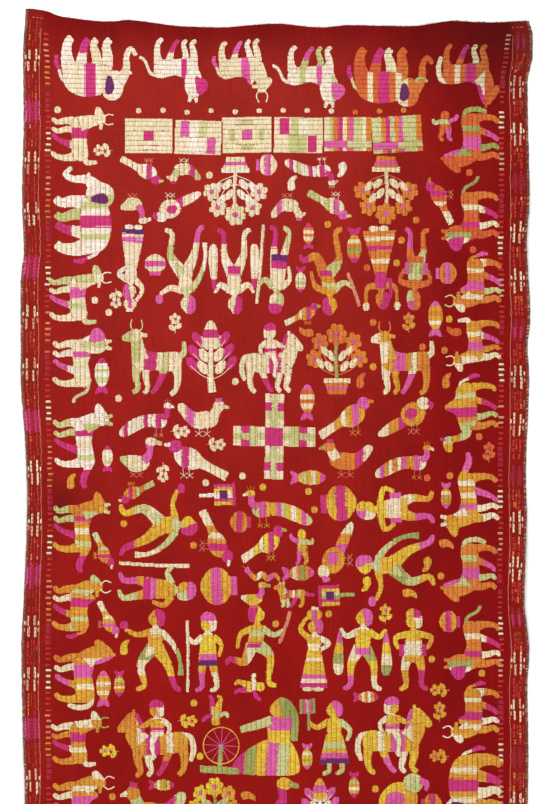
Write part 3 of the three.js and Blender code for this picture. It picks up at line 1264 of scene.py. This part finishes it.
def rosette(x, y, reach, petals=6, petal="m", heart="a"):
    found = []
    for number in range(petals):
        angle = 2 * math.pi * number / petals + 0.3
        out = 0.62 * reach
        found.append(oval(x + out * math.cos(angle), y + out * math.sin(angle), 0.4 * reach,
                          0.29 * reach, petal, math.degrees(angle)))
    return found + [oval(x, y, 0.28 * reach, 0.28 * reach, heart)]


def potted_shrub():
    found = [fill([(-22, 0), (22, 0), (31, 28), (-31, 28)], "mam", "y"), block(0, 32, 70, 9, "s")]
    found.append(limb([(0, 36), (3, 90), (0, 128)], [6, 5, 4], "t"))
    for side in (-1, 1):
        for low, out, high in ((44, 62, 78), (66, 46, 118)):
            stem = [(0, low), (side * out * 0.6, low + 14), (side * out, high)]
            found.append(line(stem, "m", 2.2))
            found += rosette(side * out, high + 8, 21)
            for share in (0.35, 0.75):
                x, y = side * out * share, low + (high - low) * share * 0.6 + 16
                found.append(oval(x, y, 14, 6.5, "s", 90 - side * 42))
    return found + rosette(0, 144, 26, 7)


def leafy_tree():
    found = [limb([(0, 0), (3, 40), (0, 96)], [16, 11, 6], "t")]
    for side in (-1, 1):
        for low, reach in ((26, 50), (52, 44), (78, 34)):
            tip = (side * reach, low + 30)
            found.append(line([(0, low), (side * reach * 0.5, low + 10), tip], "t", 2.2))
            for share, drop in ((0.42, 15), (0.95, 8)):
                found.append(oval(side * reach * share, low + 30 * share + drop - 2, 15, 8,
                                  "s" if share < 0.9 else "a", 90 - side * 40))
    return found + [soft([(-14, 98), (-19, 118), (0, 150), (19, 118), (14, 98)], "mam", "y")]


def stepped_block():
    found = [block(0, 40, 118, 80, "mmm")]
    for wide, tall, colour in ((88, 24, "s"), (30, 68, "s"), (58, 46, "m"), (26, 22, "a")):
        found.append(block(0, 40, wide, tall, colour))
    return found


def chequered_block():
    found = [block(0, 40, 118, 80, "msm")]
    for x, y, colour in ((-35, 60, "a"), (12, 60, "t"), (35, 20, "a"), (-12, 20, "s")):
        found.append(block(x, y, 23, 38, colour))
    return found


def striped_block():
    return [block(0, 40, 118, 80, "msttamsdmts"), block(0, 15, 118, 16, "ta")]


def cross_board():
    found = []
    for step in range(4):
        away = 32 + step * 20
        for sign in (-1, 1):
            colour = "msam"[step]
            found.append(block(sign * away, 100, 18.6, 44, colour + "t" + colour, "y"))
            found.append(block(0, 100 + sign * away, 44, 18.6, colour + "t" + colour, "x"))
    return found + [block(0, 100, 42, 42, "a"), block(0, 100, 20, 20, "d")]


def hand_fan():
    return [
        limb([(0, 0), (0, 50)], [7, 7], "t"),
        block(0, 74, 62, 54, "matsma"),
        block(0, 74, 26, 24, "d"),
        block(0, 105, 66, 7, "a"),
    ]


def serpent():
    path = [(-70, 14), (-48, 30), (-24, 14), (0, 30), (24, 14), (48, 30), (64, 44)]
    return [limb(path, [5, 10, 13, 13, 13, 11, 15], "mamsma", "x"), line([(68, 47), (78, 54)]),
            eye(62, 43)]


def fish():
    return [
        soft([(-30, 18), (-56, 36), (-50, 18), (-56, 0)], "a"),
        soft([(-38, 18), (-10, 36), (22, 35), (46, 18), (22, 1), (-10, 0)], "msmtma"),
        eye(32, 21),
    ]


def water_pot():
    return [
        soft([(-8, 0), (-26, 14), (-26, 32), (-9, 44), (9, 44), (26, 32), (26, 14), (8, 0)],
             "mam", "y"),
        block(0, 49, 28, 8, "a"),
    ]


def sprig():
    return [
        line([(0, 0), (1, 30)], "l", 1.5),
        oval(-9, 16, 9, 4.4, "m", -40),
        oval(10, 20, 9, 4.4, "m", 40),
        *rosette(0, 40, 14, 5),
    ]


def comma():
    return [soft([(-6, 0), (-10, 14), (-2, 30), (10, 34), (4, 22), (6, 6)], "m")]


def single_dot():
    return [oval(0, 5, 5.5, 5.5, "m")]


def reach_of(motif):
    drawn = [shape["outline"] if "outline" in shape else shape["line"] for shape in motif]
    spots = np.concatenate(drawn)
    return spots.min(0), spots.max(0)


def inside(spots, outline):
    """Which of the spots lie inside a closed outline."""
    found = np.zeros(len(spots), bool)
    near = ((spots >= outline.min(0)) & (spots <= outline.max(0))).all(1)
    if not near.any():
        return found
    x, y = spots[near].T[:, None, :]
    (x0, y0), (x1, y1) = outline.T[..., None], np.roll(outline, -1, 0).T[..., None]
    straddles = (y0 > y) != (y1 > y)
    rise = np.where(y1 == y0, 1.0, y1 - y0)
    hits = straddles & (x < x0 + (x1 - x0) * (y - y0) / rise)
    found[near] = hits.sum(0) % 2 == 1
    return found


def colours_for(across, along):
    """The hanks that were at hand when this part of the field was worked."""
    if along >= GOLDEN_FROM:
        return GOLDEN if MIDDLE_FIELD[0] < across < MIDDLE_FIELD[1] else AMBER
    if across < (PALE_TO_FAR if along < FAR_PART else PALE_TO):
        return PALE
    in_column = across > MIDDLE_FIELD[1] and along < FIERY_COLUMN_TO
    return FIERY if along < FIERY_TO or in_column else BRIGHT


def bands_at(shape, spots):
    """The number of the band of a shape in which each spot lies."""
    axis = "xy".index(shape["by"])
    low, high = shape["outline"][:, axis].min(), shape["outline"][:, axis].max()
    share = (spots[:, axis] - low) / max(high - low, 1e-6)
    count = len(shape["colours"])
    return np.clip((share * count).astype(int), 0, count - 1)


def darn(fills, to_cloth, origin, way, chosen):
    """Fills shapes with floats that run across or along the cloth. Later shapes lie uppermost.

    The cloth is gone over in columns of cells, each one float wide and one pick long. A cell knows
    the shape and the band that it belongs to, and shapes are widened a little so that neighbours
    meet. Cells of one band that follow one another in one row of stitches are one float."""
    outlines = [shape["outline"] @ to_cloth + origin for shape in fills]
    low = np.min([outline.min(0) for outline in outlines], axis=0) - MARGIN
    high = np.max([outline.max(0) for outline in outlines], axis=0) + MARGIN
    columns = np.arange(low[1 - way] + FLOSS_GIRTH / 2, high[1 - way], FLOSS_GIRTH)
    picks = np.arange(low[way], high[way] + PICK, PICK)
    grid = np.empty((len(columns), len(picks), 2))
    grid[..., 1 - way], grid[..., way] = columns[:, None], picks[None, :]
    owner = np.zeros(grid.shape[:2], int)
    for number, outline in enumerate(outlines, start=1):
        owner[inside(grid.reshape(-1, 2), outline).reshape(owner.shape)] = number
    for axis, step in [(0, 1), (0, -1)] + [(1, 1), (1, -1)] * 2:
        owner = np.where(owner > 0, owner, np.roll(owner, step, axis))
    to_figure = np.linalg.inv(to_cloth)
    ragged = draw.normal(0, RAGGED, (len(columns), 1))
    for number, shape in enumerate(fills, start=1):
        mine = owner == number
        bands = bands_at(shape, (grid[mine] - origin) @ to_figure + ragged[np.nonzero(mine)[0]])
        owner[mine] = -(number * MOST_BANDS + bands)
    owner = -owner
    rows = np.floor((picks - low[way]) / ROW_HEIGHT).astype(int) + 1
    key = np.where(owner > 0, owner * MOST_ROWS + rows[None, :], 0)
    key = np.pad(key, ((0, 0), (1, 1))).ravel()
    breaks = np.flatnonzero(np.diff(key)) + 1
    filled = key[breaks[:-1]] > 0
    firsts, lasts = breaks[:-1][filled], breaks[1:][filled] - 1
    width = len(picks) + 2
    reach = PICK / 2 - ROW_GAP / 2
    start = picks[firsts % width - 1] - reach + draw.normal(0, ROW_STRAY, len(firsts))
    stop = picks[lasts % width - 1] + reach + draw.normal(0, ROW_STRAY, len(firsts))
    keep = stop - start > SHORTEST
    start, stop, column = start[keep], stop[keep], (firsts // width)[keep]
    number, band = np.divmod(key[firsts[keep]] // MOST_ROWS, MOST_BANDS)
    ends = np.empty((2, len(start), 2))
    ends[..., 1 - way] = columns[column] + draw.normal(0, COLUMN_STRAY, (2, len(start)))
    ends[0, :, way], ends[1, :, way] = start, stop
    roles = np.array([fills[of - 1]["colours"][at] for of, at in zip(number, band)])
    return [stitches(ends[0, roles == role], ends[1, roles == role], chosen[role])
            for role in np.unique(roles)]


def running(route, thread, girth):
    """Small stitches one after the other along a line."""
    gone = np.concatenate([[0], np.cumsum(np.linalg.norm(np.diff(route, axis=0), axis=1))])
    count = max(1, round(gone[-1] / RUNNING_STEP))
    places = np.linspace(0, gone[-1], count + 1)
    spots = np.c_[np.interp(places, gone, route[:, 0]), np.interp(places, gone, route[:, 1])]
    return stitches(spots[:-1], spots[1:], thread, girth)


def directions(turn):
    """Which way a figure's own x and y point on the cloth. Turn 0 stands it head to the far end."""
    angle = math.radians(turn)
    return np.array([[math.cos(angle), math.sin(angle)], [math.sin(angle), -math.cos(angle)]])


def work(motif, spot, turn, size, way, mirror=False, wide=1.0):
    """Works a figure into the cloth about a spot, with hanks chosen for its parts."""
    basket = colours_for(*spot)
    chosen = {role: draw.choice(names) for role, names in basket.items()}
    for role in "st":
        if chosen[role] == chosen["m"] and basket is not PALE:
            chosen[role] = basket[role][0] if basket[role][0] != chosen["m"] else basket[role][1]
    to_cloth = directions(turn) * np.array([[-size * wide if mirror else size * wide], [size]])
    origin = np.array(spot, float)
    found = darn([shape for shape in motif if "outline" in shape], to_cloth, origin, way, chosen)
    for shape in motif:
        if "line" in shape:
            route = shape["line"] @ to_cloth + origin
            girth = max(THINNEST_LINE, shape["girth"])
            found.append(running(route, chosen[shape["colour"]], girth))
    return np.concatenate(found)


def row_of(makers, feet, start, stop, turn, tall, way=ACROSS, parade=False):
    """A row of figures with their feet on one line, squeezed or widened until they fill it.

    A parade all faces one way, and otherwise each figure faces either way."""
    motifs = [maker() for maker in makers]
    reaches = [reach_of(motif) for motif in motifs]
    sizes = [tall / (high[1] - low[1]) * draw.uniform(*SIZE_SPREAD) for low, high in reaches]
    widths = [(high[0] - low[0]) * size for (low, high), size in zip(reaches, sizes)]
    wide = min(MOST_WIDENED, (stop - start - LEAST_ROOM * len(motifs)) / sum(widths))
    gap = (stop - start - wide * sum(widths)) / len(motifs)
    found = []
    place = start + gap / 2
    right, up = directions(turn)
    for motif, (low, high), size, width in zip(motifs, reaches, sizes, widths):
        mirror = parade or draw.random() < 0.5
        middle = place + width * wide / 2
        shift = (-1 if mirror else 1) * (low[0] + high[0]) / 2 * size * wide
        spot = np.array([middle, feet]) if turn in (0, 180) else np.array([feet, middle])
        spot = spot - right * shift - up * low[1] * size + up * draw.normal(0, FEET_STRAY)
        lean = turn + draw.normal(0, TURN_STRAY)
        found.append(work(motif, spot, lean, size, way, mirror, wide))
        place += width * wide + gap
    return np.concatenate(found)


# Each row: its figures, the line that their feet stand on, where the row starts and stops, which
# way their heads point (0 to the far end, 180 to the near end), their height, and at the two ends
# and in the band of blocks the way the floats run.
LEFT_ANIMALS = [deer, elephant, deer, lion, hound, hound, bullock, pony, deer, bullock]
RIGHT_ANIMALS = [pony, lion, bullock, deer, camel, hound, pony, lion, bullock, elephant]
NEAR_ANIMALS = [bullock, elephant, pony, camel, lion, deer]
BLOCKS = [stepped_block, chequered_block] * 2 + [striped_block, striped_block]
UPPER_PEOPLE = [water_carrier, strider, bearer, elder, runner, dancer, drummer]
LOWER_PEOPLE = [strider, elder, runner, water_carrier, bearer, drummer]
PARADES = {
    "far_end_row": [
        ([elephant, lion, bullock], 50, 74, 630, 180, 176, ALONG),
        ([lion, elephant, pony], 74, 630, 1218, 180, 168, ALONG),
    ],
    "left_column": [(LEFT_ANIMALS, 74, 240, 2094, 90, 152)],
    "right_column": [(RIGHT_ANIMALS, 1214, 240, 2094, 270, 148)],
    "near_end_row": [(NEAR_ANIMALS, 2284, 76, 1216, 0, 174, ALONG)],
}
FIELDS = {
    "upper_field": [
        ([single_dot] * 12, 258, 262, 1000, 0, 9),
        (BLOCKS, 360, 256, 1022, 0, 88, ALONG),
        ([songbird, hen], 374, 242, 455, 180, 66),
        ([duck, parrot], 462, 242, 455, 180, 74),
        ([potted_shrub], 372, 455, 625, 180, 168),
        ([peacock], 374, 625, 840, 180, 82),
        ([hen, songbird], 464, 625, 840, 180, 72),
        ([potted_shrub], 372, 840, 1010, 180, 168),
        (UPPER_PEOPLE, 552, 240, 1050, 180, 214),
    ],
    "middle_field": [
        ([deer, leafy_tree, rider, potted_shrub, deer], 970, 240, 1050, 0, 182),
        ([peacock, hen], 1076, 240, 525, 0, 98),
        ([duck, songbird], 1184, 240, 525, 0, 100),
        ([cross_board], 1186, 530, 745, 0, 210),
        ([songbird, parrot], 1076, 750, 1050, 0, 98),
        ([hen, peacock], 1184, 750, 1050, 0, 98),
        ([strider, elder], 242, 1196, 1506, 90, 196),
        ([hand_fan, songbird, water_pot], 450, 1196, 1506, 90, 88),
        ([peacock], 1300, 552, 745, 0, 106),
        ([songbird, child], 1398, 552, 745, 0, 90),
        ([serpent, fish], 1440, 552, 745, 0, 34),
        ([duck, hound], 1506, 552, 745, 0, 62),
        ([water_pot, parrot, hand_fan], 844, 1196, 1506, 270, 88),
        ([drummer, strider], 1050, 1196, 1506, 270, 196),
    ],
    "lower_field": [
        (LOWER_PEOPLE, 1716, 240, 1050, 0, 204),
        ([rider, spinner, fan_bearer, rider], 1930, 240, 1050, 0, 198),
        ([hen, potted_shrub, duck, leafy_tree, parrot], 2090, 240, 1050, 0, 150),
    ],
}
WORKED_IN_TURN = ["far_end_row", "left_column", "right_column", *FIELDS, "near_end_row"]

worked = {}
for number, name in enumerate(WORKED_IN_TURN):
    parade = name in PARADES
    rows = PARADES[name] if parade else FIELDS[name]
    worked[name] = np.concatenate([row_of(*row, parade=parade) for row in rows])
    embroider(name, worked[name], FIRST_SEED + number)


# Small fillers. Birds, pots, fishes, sprigs and dots fill the gaps between the figures, each in
# the same darning where there was room for it.
CELL = 4.0
ROOM_AROUND = 2
TRIES = 1500
FILL_ACROSS = (76, WIDTH - 80)
FILL_ALONG = (252, LENGTH - 40)
# Each filler: its figure, its size, and how many at most.
FILLERS = [
    (songbird, 0.8, 12), (fish, 0.85, 6), (child, 0.85, 5), (songbird, 0.62, 12),
    (water_pot, 0.9, 8), (fish, 0.6, 10), (sprig, 0.9, 16), (comma, 1.0, 16),
    (single_dot, 1.2, 40),
]


def taken_places():
    """A chart of the cloth in small cells, true where a stitch already lies."""
    chart = np.zeros((int(WIDTH / CELL) + 1, int(LENGTH / CELL) + 1), bool)
    for rows in worked.values():
        for share in (0, 0.5, 1):
            spots = rows["start"] * (1 - share) + rows["stop"] * share
            cells = np.clip((spots / CELL).astype(int), 0, np.array(chart.shape) - 1)
            chart[cells[:, 0], cells[:, 1]] = True
    return chart


def fill_gaps():
    """Sets each kind of filler, the larger first, where no cell of its box is taken."""
    taken = taken_places()
    found = []
    for maker, size, most in FILLERS:
        motif = maker()
        low, high = reach_of(motif)
        set_down = 0
        for _ in range(TRIES):
            if set_down == most:
                break
            turn = draw.choice([0, 90, 180, 270])
            right, up = directions(turn)
            span = np.abs((high - low) @ np.abs([right, up])) * size / 2 + ROOM_AROUND
            centre = np.array([draw.uniform(*FILL_ACROSS), draw.uniform(*FILL_ALONG)])
            first = ((centre - span) / CELL).astype(int)
            last = ((centre + span) / CELL).astype(int) + 1
            if centre[0] - span[0] < FILL_ACROSS[0] or centre[0] + span[0] > FILL_ACROSS[1]:
                continue
            room = (slice(first[0], last[0]), slice(first[1], last[1]))
            if taken[room].any():
                continue
            taken[room] = True
            middle = (low + high) / 2 * size
            spot = centre - right * middle[0] - up * middle[1]
            found.append(work(motif, spot, turn, size, ACROSS))
            set_down += 1
    return np.concatenate(found)


embroider("small_fillers", fill_gaps(), seed=30)


# Edge stitches and loose ends. The raw sides are held by small overcast stitches in greyish
# cotton, here and there in a brighter silk. At the two raw ends short warp threads stick out.
OVERCAST_PITCH = 3.6
OVERCAST_GIRTH = 1.6
OVERCAST_SLANT = 2.2
OVERCAST_FROM = 6
OVERCAST_STRAY = 0.6
LEFT_DEPTH = 4.6
RIGHT_DEPTH = 6.0
DEPTH_SPREAD = 0.8
OUTER_DEPTH = 0.5
OUTER_SPREAD = 0.2
MIXED = ["grey", "olive", "faded", "rust", "cream"]
LEFT_MIX = [0.55, 0.2, 0.05, 0.15, 0.05]
RIGHT_MIX = [0.15, 0.42, 0.2, 0.18, 0.05]
WARP_GIRTH = 0.9
WARP_HELD = 3.0
WARP_FREE = (1.0, 5.0)
WARP_LEAN = 1.8
WARP_SPAN = (0.01, 0.99)
FAR_WARPS = 230
NEAR_WARPS = 130
# At the far end they stand closer together to the right.
FAR_CROWDING = 0.6


def overcast(flip, depth, mix):
    """Slanting stitches over one side, which reach depth into the cloth."""
    along = np.arange(OVERCAST_FROM, LENGTH - OVERCAST_FROM, OVERCAST_PITCH)
    along = along + draw.normal(0, OVERCAST_STRAY, len(along))
    inner = depth + draw.normal(0, DEPTH_SPREAD, len(along))
    outer = OUTER_DEPTH + draw.normal(0, OUTER_SPREAD, len(along))
    if flip:
        inner, outer = WIDTH - inner, WIDTH - outer
    picked = draw.choice(MIXED, len(along), p=mix)
    found = []
    for name in np.unique(picked):
        mine = picked == name
        starts = np.c_[outer[mine], along[mine]]
        stops = np.c_[inner[mine], along[mine] + OVERCAST_SLANT]
        found.append(stitches(starts, stops, name, OVERCAST_GIRTH))
    return np.concatenate(found)


def loose_ends(edge, way, places):
    """Short ends of the cloth's own warp that stick out past one of its raw ends."""
    starts = np.c_[places, np.full(len(places), edge - way * WARP_HELD)]
    reach = way * draw.uniform(*WARP_FREE, len(places))
    stops = np.c_[places + draw.normal(0, WARP_LEAN, len(places)), edge + reach]
    return stitches(starts, stops, "madder", WARP_GIRTH)


embroider("edge_stitches_left", overcast(False, LEFT_DEPTH, LEFT_MIX), seed=41)
embroider("edge_stitches_right", overcast(True, RIGHT_DEPTH, RIGHT_MIX), seed=42)
far_places = WIDTH * draw.uniform(*WARP_SPAN, FAR_WARPS) ** FAR_CROWDING
near_places = WIDTH * draw.uniform(*WARP_SPAN, NEAR_WARPS)
warp_ends = [loose_ends(0, -1, far_places), loose_ends(LENGTH, 1, near_places)]
embroider("loose_warp_ends", np.concatenate(warp_ends), seed=43)
bpy.data.objects.remove(strand_model)


# Stage. A plain pale floor under the shawl, with a broad soft light above and a white room.
FLOOR_REACH = 4.0
FLOOR_DROP = 0.0004
FLOOR_COLOUR = (0.86, 0.86, 0.85, 1)
ROOM_STRENGTH = 0.75
# Each light: its name, its place, its width and its power in watts.
LIGHTS = [
    ("window_light", (-2.6, 2.2, 3.4), 2.4, 130),
    ("fill_light", (2.4, -1.6, 3.8), 3.0, 60),
]


def pale_floor():
    mesh = bpy.data.meshes.new("floor")
    sides = (-FLOOR_REACH, FLOOR_REACH)
    corners = [(x, y, -FLOOR_DROP) for y in sides for x in sides]
    mesh.from_pydata(corners, [], [(0, 1, 3, 2)])
    material, _, shader = new_material("pale_floor", roughness=0.8, specular=0.5)
    shader.inputs["Base Color"].default_value = FLOOR_COLOUR
    mesh.materials.append(material)
    floor = bpy.data.objects.new("floor", mesh)
    bpy.context.scene.collection.objects.link(floor)


def soft_light(name, place, size, power):
    """A square light that faces the middle of the shawl."""
    light = bpy.data.lights.new(name, "AREA")
    light.shape = "SQUARE"
    light.size = size
    light.energy = power
    lamp = bpy.data.objects.new(name, light)
    lamp.location = place
    aim = -lamp.location.normalized()
    lamp.rotation_euler = aim.to_track_quat("-Z", "Y").to_euler()
    bpy.context.scene.collection.objects.link(lamp)


pale_floor()
for light in LIGHTS:
    soft_light(*light)
world = bpy.data.worlds.new("white_room")
world.use_nodes = True
background = world.node_tree.nodes["Background"]
background.inputs["Color"].default_value = (1, 1, 1, 1)
background.inputs["Strength"].default_value = ROOM_STRENGTH
bpy.context.scene.world = world
bpy.context.scene.view_settings.view_transform = "Standard"
